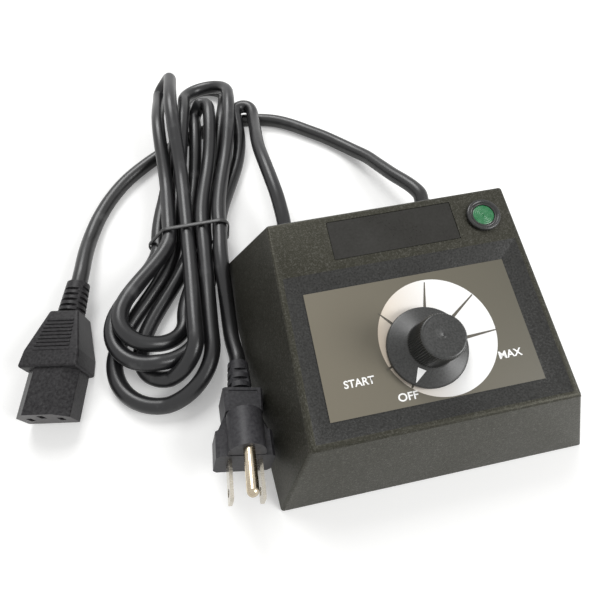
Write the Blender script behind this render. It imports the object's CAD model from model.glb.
import math

import bmesh
import bpy
from mathutils import Matrix, Vector


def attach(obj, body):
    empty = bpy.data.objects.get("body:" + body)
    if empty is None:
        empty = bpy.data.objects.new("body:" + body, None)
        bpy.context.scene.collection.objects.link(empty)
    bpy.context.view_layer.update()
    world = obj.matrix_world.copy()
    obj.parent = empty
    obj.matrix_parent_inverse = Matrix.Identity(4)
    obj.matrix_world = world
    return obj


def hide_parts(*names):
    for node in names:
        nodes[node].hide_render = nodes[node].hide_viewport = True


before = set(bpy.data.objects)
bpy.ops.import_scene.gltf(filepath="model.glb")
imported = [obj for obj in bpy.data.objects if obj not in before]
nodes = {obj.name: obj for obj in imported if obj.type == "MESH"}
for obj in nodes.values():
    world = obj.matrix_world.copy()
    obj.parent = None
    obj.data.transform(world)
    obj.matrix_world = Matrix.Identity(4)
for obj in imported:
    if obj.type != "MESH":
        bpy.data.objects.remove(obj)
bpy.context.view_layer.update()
scene = bpy.context.scene
MM = 0.001

# ------------------------------------------------------------------ camera

cam_data = bpy.data.cameras.new("camera")
cam = bpy.data.objects.new("camera", cam_data)
scene.collection.objects.link(cam)
right = Vector((0.98025592, -0.19735641, -0.0121975))
up = Vector((0.17933052, 0.86134603, 0.47531419))
back = Vector((-0.08330003, -0.46811694, 0.87973157))
turn = Matrix((right, up, back)).transposed()
cam.matrix_world = Matrix.Translation(Vector((-60.78, -73.98, 206.11)) * MM) @ turn.to_4x4()
cam_data.sensor_width = 36
cam_data.lens = 25.677
cam_data.clip_start = 0.01
cam_data.clip_end = 20
scene.camera = cam

# ------------------------------------------------------------------ small helpers


def link(obj):
    scene.collection.objects.link(obj)
    return obj


def mesh_object(name, verts, faces, material, smooth=True, angle=35):
    """A mesh piece from points in millimetres."""
    me = bpy.data.meshes.new(name)
    me.from_pydata([Vector(v) * MM for v in verts], [], faces)
    me.validate()
    me.update()
    obj = link(bpy.data.objects.new(name, me))
    me.materials.append(material)
    if smooth:
        shade(obj, angle)
    return obj


def shade(obj, angle):
    """Smooth shading that keeps edges sharper than the angle."""
    me = obj.data
    for p in me.polygons:
        p.use_smooth = True
    bm = bmesh.new()
    bm.from_mesh(me)
    for e in bm.edges:
        e.smooth = not (len(e.link_faces) == 2 and e.calc_face_angle(0) > math.radians(angle))
    bm.to_mesh(me)
    bm.free()


def ease(t):
    return t * t * (3 - 2 * t)


def clamp01(t):
    return max(0.0, min(1.0, t))


def turn_by(degrees, axis):
    return Matrix.Rotation(math.radians(degrees), 4, axis)


# ------------------------------------------------------------------ sizes that the part's source drives

# In millimetres and degrees
PANEL_FOOT = (0, -49.6, 40.8)
PANEL_TILT = 10.7
PLATE_TOP = -3.0
KNOB_V = 30
OFF_ANGLE = 236
LAMP_U = 41
LAMP_V = 82
BACK_FOOT = 65
BACK_RUN = 21.547
BACK_RISE = 58.383
HOLE_Z = 11
SLEEVE_L = 15
STRAIGHT = 5
MAINS_X = -42
OUTLET_X = 38
CORD_D = 8
LEAD_Z = 10
PLUG_AT = (-82.3, -1, -6)
PLUG_TURN = -0.9
PLUG_PITCH = -17.5
PLUG_ROLL = 18.3
PLUG_W = 24.5
PLUG_CORNER = 1.5
CONN_AT = (-156.3, 63.5, 0)
CONN_TURN = -9.4

# The frames in which the part's source draws its pieces
PANEL = Matrix.Translation(PANEL_FOOT) @ turn_by(PANEL_TILT, "X")
KNOB = PANEL @ Matrix.Translation((0, KNOB_V, PLATE_TOP)) @ turn_by(OFF_ANGLE, "Z")
LAMP = PANEL @ Matrix.Translation((LAMP_U, LAMP_V, 0))
BACK_LEAN = math.atan(BACK_RUN / BACK_RISE)
PLUG_E = PLUG_W / 2 - PLUG_CORNER
PLUG = (
    Matrix.Translation(PLUG_AT)
    @ turn_by(PLUG_TURN, "Z")
    @ turn_by(PLUG_PITCH, "X")
    @ Matrix.Translation((PLUG_E, 0, PLUG_CORNER))
    @ turn_by(PLUG_ROLL, "Y")
    @ Matrix.Translation((-PLUG_E, 0, -PLUG_CORNER))
)
CONN = Matrix.Translation(CONN_AT) @ turn_by(CONN_TURN, "Z")


def exit_at(x, w):
    """A point on a gland's axis, w millimetres outside the back wall."""
    wall_y = BACK_FOOT - BACK_RUN * HOLE_Z / BACK_RISE
    return Vector((x, wall_y + w * math.cos(BACK_LEAN), HOLE_Z + w * math.sin(BACK_LEAN)))


# ------------------------------------------------------------------ materials


def shader(name):
    m = bpy.data.materials.new(name)
    m.use_nodes = True
    return m, m.node_tree, m.node_tree.nodes["Principled BSDF"]


def noise(nt, scale, detail, rough, coord):
    n = nt.nodes.new("ShaderNodeTexNoise")
    n.inputs["Scale"].default_value = scale
    n.inputs["Detail"].default_value = detail
    n.inputs["Roughness"].default_value = rough
    nt.links.new(coord, n.inputs["Vector"])
    return n.outputs["Fac"]


def ramp(nt, fac, stops):
    r = nt.nodes.new("ShaderNodeValToRGB")
    while len(r.color_ramp.elements) < len(stops):
        r.color_ramp.elements.new(0.5)
    for e, (pos, col) in zip(r.color_ramp.elements, stops):
        e.position = pos
        e.color = (col[0], col[1], col[2], 1)
    nt.links.new(fac, r.inputs["Fac"])
    return r.outputs["Color"]


def spread(nt, fac, low, high, lo_in=0.3, hi_in=0.7):
    n = nt.nodes.new("ShaderNodeMapRange")
    n.inputs["From Min"].default_value = lo_in
    n.inputs["From Max"].default_value = hi_in
    n.inputs["To Min"].default_value = low
    n.inputs["To Max"].default_value = high
    nt.links.new(fac, n.inputs["Value"])
    return n.outputs["Result"]


def maths(nt, kind, a, b):
    n = nt.nodes.new("ShaderNodeMath")
    n.operation = kind
    for k, v in enumerate((a, b)):
        if isinstance(v, (int, float)):
            n.inputs[k].default_value = v
        else:
            nt.links.new(v, n.inputs[k])
    return n.outputs["Value"]


def bump(nt, bsdf, height, depth_mm, strength=1.0):
    b = nt.nodes.new("ShaderNodeBump")
    b.inputs["Strength"].default_value = strength
    b.inputs["Distance"].default_value = depth_mm * MM
    nt.links.new(height, b.inputs["Height"])
    nt.links.new(b.outputs["Normal"], bsdf.inputs["Normal"])


def object_coord(nt):
    return nt.nodes.new("ShaderNodeTexCoord").outputs["Object"]


def mix(a, b, t):
    return tuple(x + (y - x) * t for x, y in zip(a, b))


def plastic(name, col, rough=0.45, grain=900, depth=0.03, vary=0.25, fleck=0.0, metal=0.0, spec=0.5):
    """Moulded plastic, rubber or metal: fine grain in bump, drifting tone and roughness, light flecks."""
    m, nt, bsdf = shader(name)
    co = object_coord(nt)
    fine = noise(nt, grain, 4, 0.6, co)
    broad = noise(nt, 38, 3, 0.55, co)
    tone = maths(nt, "ADD", maths(nt, "MULTIPLY", fine, 0.45), maths(nt, "MULTIPLY", broad, 0.55))
    stops = [(0.32, mix(col, (0, 0, 0), vary)), (0.68, mix(col, (1, 1, 1), vary * 0.12))]
    if fleck:
        stops.append((0.80, mix(col, (1, 1, 1), fleck)))
    nt.links.new(ramp(nt, tone if not fleck else fine, stops), bsdf.inputs["Base Color"])
    nt.links.new(spread(nt, tone, rough - 0.08, rough + 0.10), bsdf.inputs["Roughness"])
    bump(nt, bsdf, fine, depth)
    bsdf.inputs["Metallic"].default_value = metal
    bsdf.inputs["Specular IOR Level"].default_value = spec
    return m


def metal(name, col, rough=0.28, scratch=0.02):
    """Turned, pressed or plated metal: soft streaks and a slightly uneven polish."""
    m, nt, bsdf = shader(name)
    co = object_coord(nt)
    wide = nt.nodes.new("ShaderNodeMapping")
    wide.inputs["Scale"].default_value = (1.0, 6.0, 1.0)
    nt.links.new(co, wide.inputs["Vector"])
    streak = noise(nt, 420, 5, 0.65, wide.outputs["Vector"])
    broad = noise(nt, 120, 2, 0.5, co)
    tones = [(0.3, mix(col, (0, 0, 0), 0.16)), (0.7, mix(col, (1, 1, 1), 0.10))]
    nt.links.new(ramp(nt, broad, tones), bsdf.inputs["Base Color"])
    nt.links.new(spread(nt, streak, rough - 0.07, rough + 0.12), bsdf.inputs["Roughness"])
    bump(nt, bsdf, streak, scratch)
    bsdf.inputs["Metallic"].default_value = 1.0
    return m


def spark_grain(name):
    """The housing's skin: dark olive plastic with a spark-eroded grain whose tops catch the light."""
    m, nt, bsdf = shader(name)
    co = object_coord(nt)
    cells = nt.nodes.new("ShaderNodeTexVoronoi")
    cells.inputs["Scale"].default_value = 1700
    nt.links.new(co, cells.inputs["Vector"])
    fine = noise(nt, 2100, 3, 0.6, co)
    broad = noise(nt, 26, 4, 0.6, co)
    mid = noise(nt, 900, 3, 0.6, co)
    hollow = maths(nt, "MULTIPLY", cells.outputs["Distance"], 0.55)
    pits = maths(nt, "ADD", hollow, maths(nt, "MULTIPLY", fine, 0.7))
    tone = maths(nt, "ADD", maths(nt, "MULTIPLY", pits, 0.55), maths(nt, "MULTIPLY", mid, 0.45))
    tones = [(0.34, (0.006, 0.006, 0.004)), (0.52, (0.014, 0.014, 0.010)), (0.62, (0.030, 0.029, 0.024)),
             (0.78, (0.075, 0.074, 0.065))]
    nt.links.new(ramp(nt, tone, tones), bsdf.inputs["Base Color"])
    nt.links.new(spread(nt, broad, 0.38, 0.46), bsdf.inputs["Roughness"])
    bump(nt, bsdf, pits, 0.08, 0.9)
    bsdf.inputs["Specular IOR Level"].default_value = 0.36
    bsdf.inputs["Specular Tint"].default_value = (1.0, 0.97, 0.78, 1)
    return m


def soft_print(name, left, right_col, x0, x1, rough):
    """Printed enamel whose tone drifts from left to right across the plate."""
    m, nt, bsdf = shader(name)
    co = object_coord(nt)
    sep = nt.nodes.new("ShaderNodeSeparateXYZ")
    nt.links.new(co, sep.inputs["Vector"])
    across = spread(nt, sep.outputs["X"], 0.0, 1.0, x0 * MM, x1 * MM)
    grain = noise(nt, 1600, 3, 0.6, co)
    tone = maths(nt, "ADD", across, maths(nt, "MULTIPLY", maths(nt, "SUBTRACT", grain, 0.5), 0.10))
    nt.links.new(ramp(nt, tone, [(0.0, left), (1.0, right_col)]), bsdf.inputs["Base Color"])
    nt.links.new(spread(nt, grain, rough - 0.05, rough + 0.06), bsdf.inputs["Roughness"])
    bump(nt, bsdf, grain, 0.008)
    return m


def cord_skin(name, col=(0.0125, 0.0125, 0.0135)):
    """Extruded black jacket: satin, faint drawn lines, a dusting of wear."""
    m, nt, bsdf = shader(name)
    co = object_coord(nt)
    fine = noise(nt, 1500, 3, 0.6, co)
    broad = noise(nt, 60, 4, 0.6, co)
    tones = [(0.3, mix(col, (0, 0, 0), 0.25)), (0.6, col), (0.82, mix(col, (1, 1, 1), 0.07))]
    nt.links.new(ramp(nt, broad, tones), bsdf.inputs["Base Color"])
    both = maths(nt, "ADD", maths(nt, "MULTIPLY", fine, 0.5), maths(nt, "MULTIPLY", broad, 0.5))
    nt.links.new(spread(nt, both, 0.26, 0.40), bsdf.inputs["Roughness"])
    bump(nt, bsdf, fine, 0.02, 0.6)
    bsdf.inputs["Specular IOR Level"].default_value = 0.5
    return m


def glassy(name, col, rough, transmission, glow=0.0):
    """Clear or tinted glass and acrylic, with a faint light of its own where glow is given."""
    m, nt, bsdf = shader(name)
    co = object_coord(nt)
    n = noise(nt, 700, 2, 0.5, co)
    tones = [(0.3, mix(col, (0, 0, 0), 0.15)), (0.7, mix(col, (1, 1, 1), 0.05))]
    nt.links.new(ramp(nt, n, tones), bsdf.inputs["Base Color"])
    nt.links.new(spread(nt, n, rough, rough + 0.06), bsdf.inputs["Roughness"])
    bsdf.inputs["Transmission Weight"].default_value = transmission
    bsdf.inputs["IOR"].default_value = 1.49
    if glow:
        bsdf.inputs["Emission Color"].default_value = (col[0], col[1], col[2], 1)
        bsdf.inputs["Emission Strength"].default_value = glow
    return m


GRAIN = spark_grain("housing_grain")
BEVEL = plastic("housing_bevel", (0.010, 0.010, 0.008), rough=0.22, grain=1300, depth=0.006, fleck=0.02,
                spec=0.36)
BASE = plastic("base_black", (0.03, 0.03, 0.03), rough=0.5, grain=1200, depth=0.05, fleck=0.06)
RUBBER = plastic("foot_rubber", (0.022, 0.022, 0.022), rough=0.75, grain=700, depth=0.05)
PLATE = soft_print("plate_enamel", (0.165, 0.147, 0.108), (0.095, 0.087, 0.062), -46, 46, 0.40)
DIAL = soft_print("dial_enamel", (0.72, 0.62, 0.50), (0.92, 0.92, 0.91), -18, 10, 0.40)
TICK = soft_print("tick_enamel", (0.105, 0.094, 0.074), (0.095, 0.085, 0.066), -46, 46, 0.40)
WORDS = soft_print("word_enamel", (0.92, 0.92, 0.90), (0.95, 0.95, 0.94), -46, 46, 0.45)
NAME = plastic("name_gloss", (0.010, 0.009, 0.006), rough=0.30, grain=900, depth=0.002, vary=0.12, spec=0.35)
KNOB_SKIN = plastic("knob_satin", (0.014, 0.0145, 0.013), rough=0.34, grain=1500, depth=0.02, fleck=0.04)
POINTER = soft_print("pointer_paint", (0.93, 0.93, 0.92), (0.95, 0.95, 0.95), -46, 46, 0.45)
BEZEL = plastic("bezel_satin", (0.012, 0.012, 0.011), rough=0.32, grain=900, depth=0.02)
LENS = glassy("lens_green", (0.001, 0.17, 0.045), rough=0.26, transmission=0.10, glow=0.02)
BULB = glassy("bulb_glass", (0.9, 0.85, 0.75), rough=0.05, transmission=0.8)
CLEAR = glassy("fuse_glass", (0.92, 0.94, 0.95), rough=0.03, transmission=1.0)
CORD = cord_skin("cord_jacket")
CORD_B = cord_skin("cord_jacket_b", (0.018, 0.018, 0.018))
TIE = plastic("tie_black", (0.016, 0.016, 0.016), rough=0.35, grain=900, depth=0.02)
GLAND = plastic("gland_rubber", (0.014, 0.014, 0.0145), rough=0.5, grain=1100, depth=0.04)
PLUG_SKIN = plastic("plug_vinyl", (0.026, 0.025, 0.029), rough=0.46, grain=800, vary=0.22, fleck=0.05,
                    spec=0.3)
CONN_SKIN = plastic("connector_vinyl", (0.012, 0.0108, 0.0122), rough=0.42, grain=800, vary=0.22, fleck=0.05,
                    spec=0.2)
NOSE = plastic("connector_face", (0.045, 0.041, 0.041), rough=0.5, grain=900, depth=0.02)
NICKEL = metal("nickel", (0.56, 0.52, 0.44), rough=0.22, scratch=0.006)
BRASS_PIN = metal("pin_brass", (0.50, 0.42, 0.30), rough=0.20, scratch=0.006)
STEEL = metal("steel_plate", (0.58, 0.58, 0.59), rough=0.32)
BRASS = metal("brass_plain", (0.70, 0.56, 0.30), rough=0.30)
ALU = metal("aluminium_plain", (0.70, 0.70, 0.72), rough=0.35)
BOARD = plastic("board_lacquer", (0.03, 0.16, 0.07), rough=0.32, grain=500, depth=0.02, vary=0.3)
SINK = plastic("sink_anodised", (0.03, 0.03, 0.032), rough=0.4, metal=0.7)
DARK = plastic("part_dark", (0.035, 0.033, 0.030), rough=0.4)
TRACK = plastic("track_carbon", (0.045, 0.035, 0.028), rough=0.55)
PALE = plastic("part_pale", (0.70, 0.68, 0.62), rough=0.45)
COPPER = plastic("choke_wire", (0.36, 0.15, 0.06), rough=0.3, grain=1400, depth=0.10, metal=0.4)
RED = plastic("part_red", (0.36, 0.05, 0.035), rough=0.28)
TAN = plastic("part_tan", (0.46, 0.36, 0.20), rough=0.35)
GREEN = plastic("terminal_green", (0.05, 0.18, 0.09), rough=0.4)
BLUE = plastic("wire_blue", (0.04, 0.12, 0.36), rough=0.4)

LOOK = {
    "housing": GRAIN, "base_plate": BASE, "base_screws": STEEL, "rubber_feet": RUBBER,
    "face_plate": PLATE, "name_plate": NAME, "knob": KNOB_SKIN, "knob_pointer": POINTER,
    "knob_set_screw": STEEL, "control_shaft": STEEL, "control_can": STEEL, "control_bushing": BRASS,
    "control_track": TRACK, "control_rotor": PALE, "control_washer": STEEL, "control_nut": BRASS,
    "power_switch": DARK, "lamp_bezel": BEZEL, "lamp_lens": LENS, "lamp_bulb": BULB, "lamp_nut": STEEL,
    "circuit_board": BOARD, "board_standoffs": ALU, "board_screws": STEEL, "heat_sink": SINK,
    "triac": DARK, "choke": COPPER, "capacitors": RED, "resistors": TAN, "fuse": CLEAR,
    "fuse_clips": BRASS, "terminal_block": GREEN, "mains_leads": CORD, "outlet_leads": CORD,
    "control_leads": RED, "lamp_leads": BLUE, "mains_gland": GLAND, "outlet_gland": GLAND,
    "mains_cord_run": CORD, "mains_cord_hank": CORD, "mains_cord_tail": CORD, "hank_tie": TIE,
    "plug_body": PLUG_SKIN, "plug_blades": NICKEL, "plug_ground_pin": BRASS_PIN, "outlet_cord": CORD,
    "connector_body": CONN_SKIN, "connector_contacts": BRASS,
}
for name, obj in nodes.items():
    for s in obj.material_slots:
        s.material = LOOK[name]

# ------------------------------------------------------------------ cords


def through(points, step=1.6):
    """A smooth line through hand-set points (centripetal Catmull-Rom)."""
    p = [Vector(q) for q in points]
    p = [2 * p[0] - p[1]] + p + [2 * p[-1] - p[-2]]
    out = []
    for i in range(1, len(p) - 2):
        a, b, c, d = p[i - 1], p[i], p[i + 1], p[i + 2]
        t1 = math.sqrt((b - a).length)
        t2 = t1 + math.sqrt((c - b).length)
        t3 = t2 + math.sqrt((d - c).length)
        n = max(2, round((c - b).length / step))
        for k in range(n):
            t = t1 + (t2 - t1) * k / n
            a1 = a * ((t1 - t) / t1) + b * (t / t1)
            a2 = b * ((t2 - t) / (t2 - t1)) + c * ((t - t1) / (t2 - t1))
            a3 = c * ((t3 - t) / (t3 - t2)) + d * ((t - t2) / (t3 - t2))
            b1 = a1 * ((t2 - t) / t2) + a2 * (t / t2)
            b2 = a2 * ((t3 - t) / (t3 - t1)) + a3 * ((t - t1) / (t3 - t1))
            out.append(b1 * ((t2 - t) / (t2 - t1)) + b2 * ((t - t1) / (t2 - t1)))
    out.append(p[-2])
    return out


LAYER_1 = CORD_D / 2 + 0.05
LAYER_2 = LAYER_1 + 8.6
TIE_Y = 84
TIE_LIFT = 1.5
TIE_REACH = 40
# The hank rises where the outlet lead runs under its far end
HUMP_H = 8.8
HUMP_AT = (-54.6, 181)
HUMP_SLOPE = 0.34
HUMP_REACH = 46
FOLD_AT = (-51.5, 178)
FOLD_R = 5.5
PASSES = [
    (-79.1, LAYER_1), (-114.5, LAYER_1), (-87.6, LAYER_1), (-105.7, LAYER_2), (-95.9, LAYER_2),
    (-96.1, LAYER_1), (-87.3, LAYER_2), (-105.3, LAYER_1), (-77.5, LAYER_2)]
# middle, straight length, radius, heights going in, at the tip and coming out, side of the tie
BENDS = [
    (-116.3, 53.4, 21.1, LAYER_1, 12.8, 12.8, -1), (-76.8, 121.3, 14, LAYER_1, LAYER_1, LAYER_1, 1),
    (-117.3, 50.4, 14.1, 4.6, 12.7, 18.9, -1), (-100.7, 117.7, 5.3, 14.7, 19.6, 25.6, 1),
    (-111, 66.5, 15.3, 18.2, 7.6, LAYER_1, -1), (-79, 92.1, 5.3, 5.6, 12.5, 12.5, 1),
    (-114.3, 68.3, 25.1, 11.7, LAYER_1, LAYER_1, -1), (-74.4, 104.5, 14.7, 13.8, 13.6, 13.6, 1)]
ENTRY = (-57, 172)


def hump(x, y):
    """How far the strands are lifted over the outlet lead and in the tie."""
    off = abs(y - HUMP_AT[1] - (x - HUMP_AT[0]) * HUMP_SLOPE)
    over = HUMP_H * (1 - ease(clamp01(off / HUMP_REACH)))
    return over + TIE_LIFT * (1 - ease(clamp01(abs(y - TIE_Y) / TIE_REACH)))


def lifted(x, y, z):
    return Vector((x, y, z + hump(x, y)))


def half_bend(start, bend, side, side_z, q):
    """The point q millimetres along a bend's half, from its pass in the tie towards its tip."""
    mid, run, r, _, tip, _, way = bend
    if q < run:
        t = ease(q / run)
        x = start[0] + (mid + side * r - start[0]) * t
        return lifted(x, TIE_Y + way * q, start[1] + (side_z - start[1]) * t)
    a = (q - run) / r
    x = mid + side * r * math.cos(a)
    return lifted(x, TIE_Y + way * (run + r * math.sin(a)), tip + (side_z - tip) * math.cos(a))


def hank_points(straight=34, round_=16):
    """The hank's line: from the mains run into the first pass, then bend after bend."""
    x0, y0 = ENTRY
    out = [lifted(x0, y0, LAYER_1)]
    run = y0 - TIE_Y - CORD_D
    for k in range(2 * straight):
        t = k / (2 * straight)
        out.append(lifted(x0 + (PASSES[0][0] - x0) * ease(t), y0 - CORD_D - run * t, LAYER_1))
    for i, b in enumerate(BENDS):
        a, c = PASSES[i], PASSES[i + 1]
        s = 1 if a[0] > c[0] else -1
        arc = math.pi * b[2] / 2
        qs = [b[1] * k / straight for k in range(straight)]
        qs += [b[1] + arc * k / round_ for k in range(round_ + 1)]
        out += [half_bend(a, b, s, b[3], q) for q in qs]
        out += [half_bend(c, b, -s, b[5], q) for q in reversed(qs[1:-1])]
    out.append(lifted(PASSES[8][0], TIE_Y, LAYER_2))
    return out


def length(points):
    return sum((b - a).length for a, b in zip(points, points[1:]))


def cord_curve(name, points, material):
    """A round cord along a line of points in millimetres."""
    cu = bpy.data.curves.new(name, "CURVE")
    cu.dimensions = "3D"
    cu.bevel_depth = CORD_D / 2 * MM
    cu.bevel_resolution = 5
    cu.use_fill_caps = True
    sp = cu.splines.new("POLY")
    sp.points.add(len(points) - 1)
    for s, p in zip(sp.points, points):
        s.co = (*(p * MM), 1)
    sp.use_smooth = True
    cu.materials.append(material)
    return link(bpy.data.objects.new(name, cu))


def plug_point(x, y, z):
    return PLUG @ Vector((x, y, z))


hank = hank_points()
quarter_turns = [math.pi * k / 4 for k in range(5)]
fold = [(FOLD_AT[0] + FOLD_R * math.cos(a), FOLD_AT[1] + FOLD_R * math.sin(a), LAYER_1 + HUMP_H)
        for a in quarter_turns]
mains_in = [exit_at(MAINS_X, SLEEVE_L), exit_at(MAINS_X, SLEEVE_L + STRAIGHT)] + [
    (-42.3, 86, 19.6), (-42.9, 94, 21.6), (-44, 103, 22.9), (-45.2, 113, 23.3), (-46.3, 123, 22.9),
    (-47, 133, 21.5), (-47, 143, 19.4), (-46.6, 153, 16.7), (-46.2, 162.5, 14.3), (-46, 171, 12.95)]
mains_in += fold + [hank[0]]
mains_out = [hank[-1]] + [
    (-78.2, 76, 14.2), (-79, 66, 14.2), (-79.4, 56, 13), (-79.7, 46, 10.2), (-80.1, 36, 7), (-80.4, 27, 4.9),
    (-80.2, 18, 4.3)] + [plug_point(0, STRAIGHT, LEAD_Z), plug_point(0, 0, LEAD_Z)]
mains_line = through(mains_in)[:-1] + hank + through(mains_out)[1:]
outlet_line = through([exit_at(OUTLET_X, SLEEVE_L), exit_at(OUTLET_X, SLEEVE_L + STRAIGHT)] + [
    (36.2, 85.6, 17.6), (33.2, 93, 16), (29.5, 101.3, 13.8), (25.2, 112.5, 11), (20.5, 124.7, 8),
    (14.5, 134.8, 5.5), (7.6, 144, 4.2), (-1, 152.8, 4.1), (-10, 160.5, 4.1), (-21, 169.5, 4.1),
    (-31, 175.5, 4.1), (-43, 179.2, 4.1), (-56, 180.5, 4.1), (-70, 178.5, 4.1), (-84, 173.5, 4.1),
    (-97, 167, 4.1), (-110, 159, 4.1), (-122, 150, 4.1), (-133, 139.5, 4.1), (-142, 127, 4.1),
    (-149, 113, 4.1), (-153, 99, 5), (-154.4, 85, 7.8),
    CONN @ Vector((0, 7, LEAD_Z)), CONN @ Vector((0, 0, LEAD_Z))])
print("cord lengths", round(length(mains_line)), round(length(outlet_line)))

mains_cord = cord_curve("mains_cord", mains_line, CORD)
outlet_cord = cord_curve("outlet_lead", outlet_line, CORD_B)
for piece in (mains_cord, outlet_cord):
    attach(piece, "console")
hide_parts("mains_cord_run", "mains_cord_hank", "mains_cord_tail")
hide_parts("outlet_cord")

# ------------------------------------------------------------------ refined copies of moulded nodes


def refined(name, node, material, width, segments, angle):
    """A copy of a CAD node with its flat faces merged and its edges rounded."""
    obj = link(bpy.data.objects.new(name, nodes[node].data.copy()))
    me = obj.data
    bm = bmesh.new()
    bm.from_mesh(me)
    bmesh.ops.remove_doubles(bm, verts=bm.verts, dist=1e-6)
    bmesh.ops.dissolve_limit(bm, angle_limit=math.radians(1.2), verts=bm.verts, edges=bm.edges)
    bm.to_mesh(me)
    bm.free()
    me.materials.clear()
    me.materials.append(material)
    for p in me.polygons:
        p.material_index = 0
    if "custom_normal" in me.attributes:
        me.attributes.remove(me.attributes["custom_normal"])
    b = obj.modifiers.new("edges", "BEVEL")
    b.width = width * MM
    b.segments = segments
    b.limit_method = "ANGLE"
    b.angle_limit = math.radians(angle)
    b.use_clamp_overlap = True
    b.harden_normals = False
    shade(obj, 30)
    n = obj.modifiers.new("normals", "WEIGHTED_NORMAL")
    n.keep_sharp = False
    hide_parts(node)
    return obj


def paint(obj, material, test):
    """Gives the faces that pass the test, at their centres in millimetres, another material."""
    obj.data.materials.append(material)
    k = len(obj.data.materials) - 1
    for p in obj.data.polygons:
        if test(p.center / MM):
            p.material_index = k


RECESS_HALF = 52
RECESS_FOOT = 1.5
RECESS_TOP = 69.8
RECESS_FLOOR = -3.7
NOSE_FACE = -70.9


def in_recess(c):
    q = PANEL.inverted() @ Vector(c)
    return RECESS_FLOOR < q.z < -0.02 and abs(q.x) < RECESS_HALF and RECESS_FOOT < q.y < RECESS_TOP


def in_nose(c):
    return (CONN.inverted() @ Vector(c)).y < NOSE_FACE


shell = refined("housing_shell", "housing", GRAIN, width=0.3, segments=2, angle=30)
paint(shell, BEVEL, in_recess)
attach(shell, "console")

plug_skin = refined("plug_moulding", "plug_body", PLUG_SKIN, width=0.45, segments=3, angle=25)
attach(plug_skin, "console")
conn_skin = refined("connector_moulding", "connector_body", CONN_SKIN, width=0.3, segments=2, angle=25)
paint(conn_skin, NOSE, in_nose)
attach(conn_skin, "console")

# ------------------------------------------------------------------ turned pieces


def turned(name, profile, material, place, steps=96, radius=None, close=False, angle=32):
    """A lathe: profile of (r, z) in millimetres; radius(r, z, k) may shape it round the axis."""
    verts, faces, rings = [], [], []
    for r, z in profile:
        if r < 1e-6:
            rings.append([len(verts)])
            verts.append(place @ Vector((0, 0, z)))
            continue
        ring = []
        for k in range(steps):
            a = 2 * math.pi * k / steps
            rr = radius(r, z, k) if radius else r
            ring.append(len(verts))
            verts.append(place @ Vector((rr * math.cos(a), rr * math.sin(a), z)))
        rings.append(ring)
    pairs = list(zip(rings, rings[1:])) + ([(rings[-1], rings[0])] if close else [])
    for a, b in pairs:
        for k in range(steps):
            j = (k + 1) % steps
            if len(a) == 1:
                faces.append((a[0], b[j], b[k]))
            elif len(b) == 1:
                faces.append((a[k], a[j], b[0]))
            else:
                faces.append((a[k], a[j], b[j], b[k]))
    obj = mesh_object(name, verts, faces, material, angle=angle)
    bm = bmesh.new()
    bm.from_mesh(obj.data)
    bmesh.ops.recalc_face_normals(bm, faces=bm.faces)
    bm.to_mesh(obj.data)
    bm.free()
    return obj


FLUTES = 60
PER = 6
FLUTE_DEEP = 0.42
GRIP_FOOT = 6.88
GRIP_R = 7.4
CAP_TOP = 22.4


def flute(r, z, k):
    """The grip's flutes, which fade out at its foot and below its cap."""
    if r < GRIP_R or z < GRIP_FOOT:
        return r
    wave = 0.5 - 0.5 * math.cos(2 * math.pi * (k % PER) / PER)
    fade = clamp01((CAP_TOP - 0.25 - z) / 0.7) * clamp01((z - GRIP_FOOT) / 0.35)
    return r - FLUTE_DEEP * wave * fade


knob_profile = [
    (3.3, 5.6), (8.1, 5.6), (8.1, 4.0), (15.0, 2.0), (15.1, 1.25), (16.2, 1.22), (16.42, 1.35), (16.5, 1.65),
    (16.5, 3.25), (16.43, 3.52), (16.2, 3.72), (15.6, 3.92), (9.75, 6.42), (9.35, 6.6), (9.2, 6.87),
    (9.18, 6.9), (9.16, 7.25), (9.12, 7.6), (8.95, 14), (8.8, 20.6), (8.74, 21.2), (8.58, 21.7),
    (8.32, 22.1), (7.98, 22.33), (7.5, CAP_TOP), (7.2, 22.34), (4.5, 22.26), (1.1, 22.22), (0.75, 22.1),
    (0.4, 21.85), (0, 21.78)]
knob = turned("knob_turned", knob_profile, KNOB_SKIN, KNOB, steps=FLUTES * PER, radius=flute, angle=50)
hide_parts("knob")
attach(knob, "dial")

SKIRT_OUT = (15.6, 3.92)
SKIRT_IN = (9.75, 6.42)
POINTER_R = (10.2, 15.55)
POINTER_HALF = 1.62
POINTER_TIP = 0.10


def on_skirt(r, across):
    """A point just above the skirt's cone, given by its place in the knob's own frame."""
    rise = (SKIRT_IN[1] - SKIRT_OUT[1]) / (SKIRT_OUT[0] - SKIRT_IN[0])
    return KNOB @ Vector((r, across, SKIRT_OUT[1] + (SKIRT_OUT[0] - r) * rise + 0.03))


rows = 8
pv, pf = [], []
for i in range(rows + 1):
    r = POINTER_R[0] + (POINTER_R[1] - POINTER_R[0]) * i / rows
    half = POINTER_HALF * (1 - i / rows) + POINTER_TIP
    pv += [on_skirt(r, -half), on_skirt(r, half)]
for i in range(rows):
    pf.append((2 * i, 2 * i + 1, 2 * i + 3, 2 * i + 2))
pointer = mesh_object("pointer_inlay", pv, pf, POINTER, smooth=False)
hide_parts("knob_pointer")
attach(pointer, "dial")

bezel_profile = [
    (4.8, -13), (5.6, -13), (5.6, -0.02), (7.35, -0.02), (7.5, 0.15), (7.5, 1.0), (7.42, 1.35), (7.15, 1.66),
    (6.75, 1.8), (6.2, 1.72), (5.95, 1.45), (5.75, 1.25), (5.55, 1.4), (5.2, 1.5), (4.95, 1.35), (4.8, 1.0)]
bezel = turned("lamp_bezel_ring", bezel_profile, BEZEL, LAMP, close=True, angle=60)
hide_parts("lamp_bezel")
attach(bezel, "console")

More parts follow.
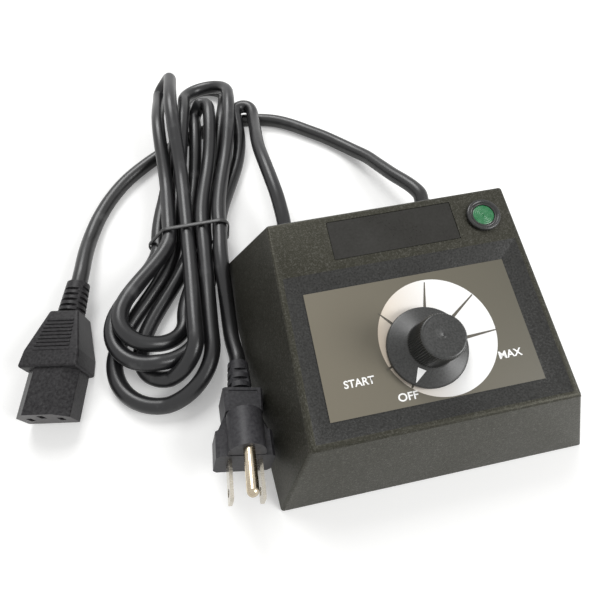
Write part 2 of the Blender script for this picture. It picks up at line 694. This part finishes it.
LENS_STEPS = 5
LENS_PITCH = 0.83
lens_profile = [(0, 1.16), (0.35, 1.14)]
for i in range(LENS_STEPS):
    r = 0.45 + i * LENS_PITCH
    lens_profile += [(r, 0.98), (r + 0.28, 1.16), (r + 0.62, 1.10), (r + 0.78, 0.98)]
lens_profile += [(4.66, 0.95), (4.70, 0.7), (4.70, -11), (3.7, -11), (3.7, -1), (0, -1)]
lens = turned("lamp_lens_rings", lens_profile, LENS, LAMP, steps=72, angle=50)
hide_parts("lamp_lens")
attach(lens, "console")

# ------------------------------------------------------------------ print on the face plate


def plate_point(u, v, lift):
    """A point over the face plate, given from the knob's axis."""
    return PANEL @ Vector((u, KNOB_V + v, PLATE_TOP + lift))


DIAL_AT = (6.5, 4.0)
DIAL_R = 24.6
DIAL_HOLE = 8.6
DIAL_LIFT = 0.05
TICK_LIFT = 0.09
WORD_LIFT = 0.07
DIAL_SIDES = 120
ring_v, ring_f = [], []
for k in range(DIAL_SIDES):
    a = 2 * math.pi * k / DIAL_SIDES
    c, d = math.cos(a), math.sin(a)
    ring_v.append(plate_point(DIAL_HOLE * c, DIAL_HOLE * d, DIAL_LIFT))
    ring_v.append(plate_point(DIAL_AT[0] + DIAL_R * c, DIAL_AT[1] + DIAL_R * d, DIAL_LIFT))
for k in range(DIAL_SIDES):
    j = (k + 1) % DIAL_SIDES
    ring_f.append((2 * k, 2 * k + 1, 2 * j + 1, 2 * j))
dial = mesh_object("dial_scale", ring_v, ring_f, DIAL, smooth=False)
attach(dial, "console")

# angle, inner and outer radius, width at either
TICKS = [(-162.8, 15.0, 18.6, 0.9, 0.7), (130.5, 13.0, 23.4, 1.5, 0.45), (74.4, 13.0, 28.6, 1.5, 0.45),
         (35.1, 13.0, 32.0, 1.6, 0.5), (3.6, 13.0, 31.6, 1.6, 0.5), (-123.9, 15.0, 17.4, 0.9, 0.8)]
tv, tf = [], []
for deg, r0, r1, w0, w1 in TICKS:
    a = math.radians(deg)
    d, s = Vector((math.cos(a), math.sin(a))), Vector((-math.sin(a), math.cos(a)))
    k = len(tv)
    for r, w in ((r0, w0), (r1, w1)):
        for side in (-1, 1):
            q = d * r + s * side * w / 2
            tv.append(plate_point(q.x, q.y, TICK_LIFT))
    tf.append((k, k + 1, k + 3, k + 2))
ticks = mesh_object("dial_ticks", tv, tf, TICK, smooth=False)
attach(ticks, "console")


def word(text, u0, v0, u1, v1):
    """A printed word filling the box u0..u1, v0..v1 on the plate, in millimetres."""
    cu = bpy.data.curves.new("word_" + text, "FONT")
    cu.body = text
    cu.offset = 0.022
    cu.resolution_u = 6
    tmp = link(bpy.data.objects.new("tmp_" + text, cu))
    me = bpy.data.meshes.new_from_object(tmp.evaluated_get(bpy.context.evaluated_depsgraph_get()))
    bpy.data.objects.remove(tmp)
    bpy.data.curves.remove(cu)
    xs = [v.co.x for v in me.vertices]
    ys = [v.co.y for v in me.vertices]
    x0, x1, y0, y1 = min(xs), max(xs), min(ys), max(ys)
    for v in me.vertices:
        u = u0 + (u1 - u0) * (v.co.x - x0) / (x1 - x0)
        w = v0 + (v1 - v0) * (v.co.y - y0) / (y1 - y0)
        v.co = (PANEL @ Vector((u, w, PLATE_TOP + WORD_LIFT))) * MM
    me.name = "word_" + text
    obj = link(bpy.data.objects.new("word_" + text, me))
    me.materials.clear()
    me.materials.append(WORDS)
    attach(obj, "console")
    return obj


word("START", -35.9, 20.3, -23.4, 23.5)
word("OFF", -16.1, 11.3, -7.9, 14.5)
word("MAX", 28.7, 19.8, 38.5, 22.9)

# ------------------------------------------------------------------ tie


TIE_GAP = 0.85
TIE_HALF_W = 1.15
TIE_T = 1.0
TIE_CORNERS = (1, 0, 8, 3)
BAND_SIDES = 12


def tie_outline(grow):
    """The outline round the strands at the waist, as (x, z) points."""
    pts = [(PASSES[i][0], PASSES[i][1] + TIE_LIFT) for i in TIE_CORNERS]
    r = CORD_D / 2 + grow
    out = []
    n = len(pts)
    for i in range(n):
        a, b, c = (Vector(pts[(i + k) % n]) for k in (-1, 0, 1))
        d0, d1 = (b - a).normalized(), (c - b).normalized()
        a0, a1 = math.atan2(-d0.x, d0.y), math.atan2(-d1.x, d1.y)
        while a1 < a0:
            a1 += 2 * math.pi
        m = max(3, round((a1 - a0) / 0.14))
        for k in range(m + 1):
            t = a0 + (a1 - a0) * k / m
            out.append((b.x + r * math.cos(t), b.y + r * math.sin(t)))
    return out


def loop_band(name, outline, y, half_w, thick, material):
    """A band of rounded section round a closed outline."""
    section = []
    for k in range(BAND_SIDES):
        a = 2 * math.pi * k / BAND_SIDES
        c, s = math.cos(a), math.sin(a)
        across = abs(c) ** 0.6 * math.copysign(half_w, c)
        section.append((across, abs(s) ** 0.6 * math.copysign(thick / 2, s)))
    v, f = [], []
    n = len(outline)
    for i in range(n):
        p0, p1, p2 = (Vector(outline[(i + k) % n]) for k in (-1, 0, 1))
        d = (p2 - p0).normalized()
        out = Vector((d.y, -d.x))
        for w, t in section:
            q = p1 + out * t
            v.append((q.x, y + w, q.y))
    for i in range(n):
        j = (i + 1) % n
        for k in range(BAND_SIDES):
            m = (k + 1) % BAND_SIDES
            f.append((i * BAND_SIDES + k, i * BAND_SIDES + m, j * BAND_SIDES + m, j * BAND_SIDES + k))
    return mesh_object(name, v, f, material)


tie = loop_band("hank_tie_band", tie_outline(TIE_GAP), TIE_Y, TIE_HALF_W, TIE_T, TIE)
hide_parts("hank_tie")
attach(tie, "console")

# ------------------------------------------------------------------ cords' facts

# ------------------------------------------------------------------ floor, backdrop and light


def seen_rays(nt):
    """1 for the rays that show a surface as it looks: to the camera, in a gloss and through glass."""
    path = nt.nodes.new("ShaderNodeLightPath")
    seen = maths(nt, "MAXIMUM", path.outputs["Is Camera Ray"], path.outputs["Is Glossy Ray"])
    return maths(nt, "MAXIMUM", seen, path.outputs["Is Transmission Ray"])


FLOOR_HALF = 4.0
FLOOR_GLOW = 0.22
WORLD_LIGHT = 0.48
floor_mesh = bpy.data.meshes.new("floor")
corners = [(x * FLOOR_HALF, y * FLOOR_HALF, 0) for x, y in ((-1, -1), (1, -1), (1, 1), (-1, 1))]
floor_mesh.from_pydata(corners, [], [(0, 1, 2, 3)])
floor = link(bpy.data.objects.new("floor", floor_mesh))
fm = bpy.data.materials.new("floor_white")
fm.use_nodes = True
nt = fm.node_tree
nt.nodes.clear()
diff = nt.nodes.new("ShaderNodeBsdfDiffuse")
diff.inputs["Color"].default_value = (0.86, 0.86, 0.85, 1)
glow = nt.nodes.new("ShaderNodeEmission")
glow.inputs["Color"].default_value = (1, 1, 1, 1)
nt.links.new(maths(nt, "MULTIPLY", seen_rays(nt), FLOOR_GLOW), glow.inputs["Strength"])
add = nt.nodes.new("ShaderNodeAddShader")
nt.links.new(diff.outputs["BSDF"], add.inputs[0])
nt.links.new(glow.outputs["Emission"], add.inputs[1])
outm = nt.nodes.new("ShaderNodeOutputMaterial")
nt.links.new(add.outputs["Shader"], outm.inputs["Surface"])
floor_mesh.materials.append(fm)

world = bpy.data.worlds.new("studio")
scene.world = world
world.use_nodes = True
nt = world.node_tree
nt.nodes.clear()
bg = nt.nodes.new("ShaderNodeBackground")
bg.inputs["Color"].default_value = (1, 1, 1, 1)
extra = maths(nt, "MULTIPLY", seen_rays(nt), 1 - WORLD_LIGHT)
nt.links.new(maths(nt, "ADD", extra, WORLD_LIGHT), bg.inputs["Strength"])
outw = nt.nodes.new("ShaderNodeOutputWorld")
nt.links.new(bg.outputs["Background"], outw.inputs["Surface"])


def area(name, at, aim, size, power):
    """A square lamp at one place that looks at another, in metres and watts."""
    la = bpy.data.lights.new(name, "AREA")
    la.shape = "SQUARE"
    la.size = size
    la.energy = power
    obj = link(bpy.data.objects.new(name, la))
    obj.location = at
    obj.rotation_euler = (Vector(aim) - Vector(at)).to_track_quat("-Z", "Y").to_euler()


area("key", (0.75, -0.45, 0.70), (0, 0.02, 0.02), 0.5, 7.5)
area("fill", (-0.15, 0.75, 0.85), (-0.05, 0.05, 0), 0.5, 6.5)

scene.view_settings.view_transform = "Standard"
